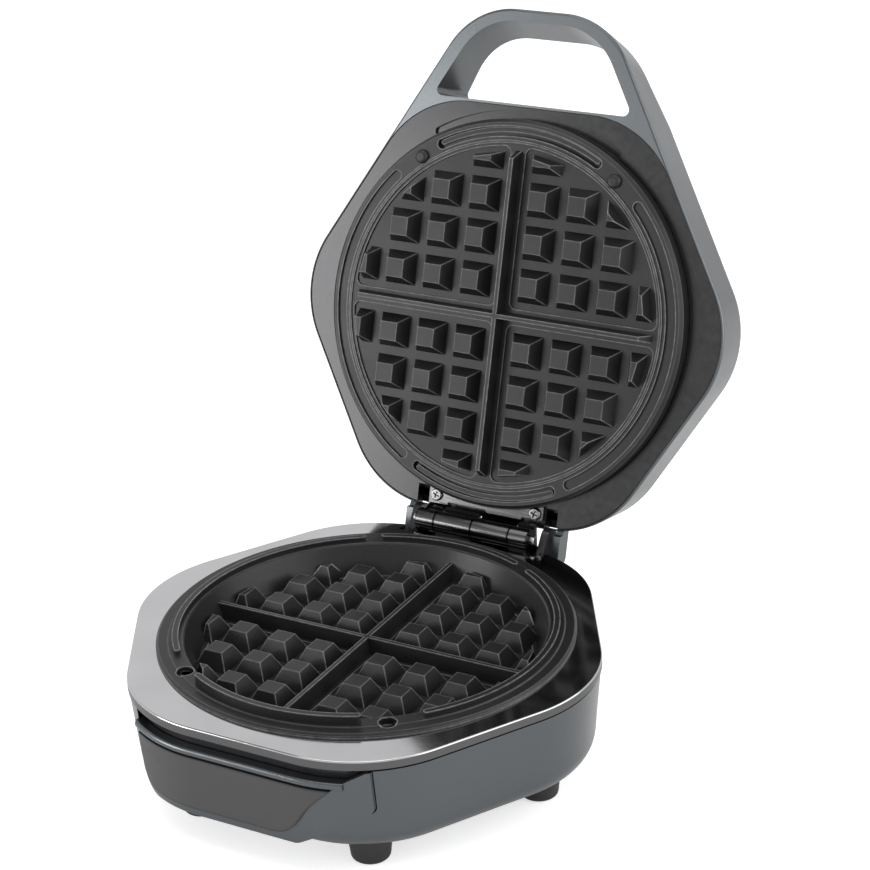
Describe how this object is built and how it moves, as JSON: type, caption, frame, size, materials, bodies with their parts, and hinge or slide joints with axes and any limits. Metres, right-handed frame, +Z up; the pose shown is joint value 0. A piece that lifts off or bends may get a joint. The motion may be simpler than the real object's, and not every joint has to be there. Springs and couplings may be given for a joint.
{
  "type": "belgian waffle maker",
  "caption": "Countertop Belgian waffle maker with a hexagonal body, a hinged lid that ends in a carry handle, and a pair of round grid plates.",
  "frame": {"origin": "centre of the bounding box at the floor, with the lid open as pictured", "axes": "+Z up, -Y the front with the fascia, +Y the hinge and the open lid, +X to the right seen from the front"},
  "size_m": [0.2612, 0.3662, 0.3517],
  "materials": {
    "body_paint": "satin slate metallic",
    "bezel_steel": "dark polished",
    "trim_gloss": "gloss",
    "black_plastic": "satin",
    "panel_grey": "satin",
    "nonstick": "non-stick coating",
    "hinge_steel": "polished",
    "screw_steel": "satin",
    "reflector": "bright",
    "element_steel": "heat stained",
    "foot_rubber": "matte",
    "fuse_body": "matte"
  },
  "bodies": {
    "base": {"base_shell": "body_paint", "bottom_cover": "black_plastic", "cover_screws": "screw_steel", "feet": "foot_rubber", "base_frame": "black_plastic", "frame_screws": "screw_steel", "base_bezel": "bezel_steel", "fascia_body": "body_paint", "fascia_panel": "panel_grey", "lower_plate": "nonstick", "lower_element": "element_steel", "lower_reflector": "reflector", "lower_plate_screws": "screw_steel", "thermostat": "reflector", "thermal_fuse": "fuse_body", "terminal_block": "fuse_body", "cord_gland": "foot_rubber", "base_hinge_leaf": "hinge_steel", "leaf_rivets": "screw_steel", "hinge_pin": "screw_steel"},
    "lid": {"lid_shell": "body_paint", "lid_trim": "trim_gloss", "lid_hinge_bracket": "hinge_steel", "bracket_screws": "screw_steel", "upper_plate": "nonstick", "upper_element": "element_steel", "upper_reflector": "reflector", "upper_plate_screws": "screw_steel"}
  },
  "joints": [
    {"name": "lid_hinge", "type": "hinge", "parent": "base", "child": "lid", "pos_m": [0, 0.06547, 0.077], "axis": [1, 0, 0], "range_deg": [0, 107]}
  ]
}
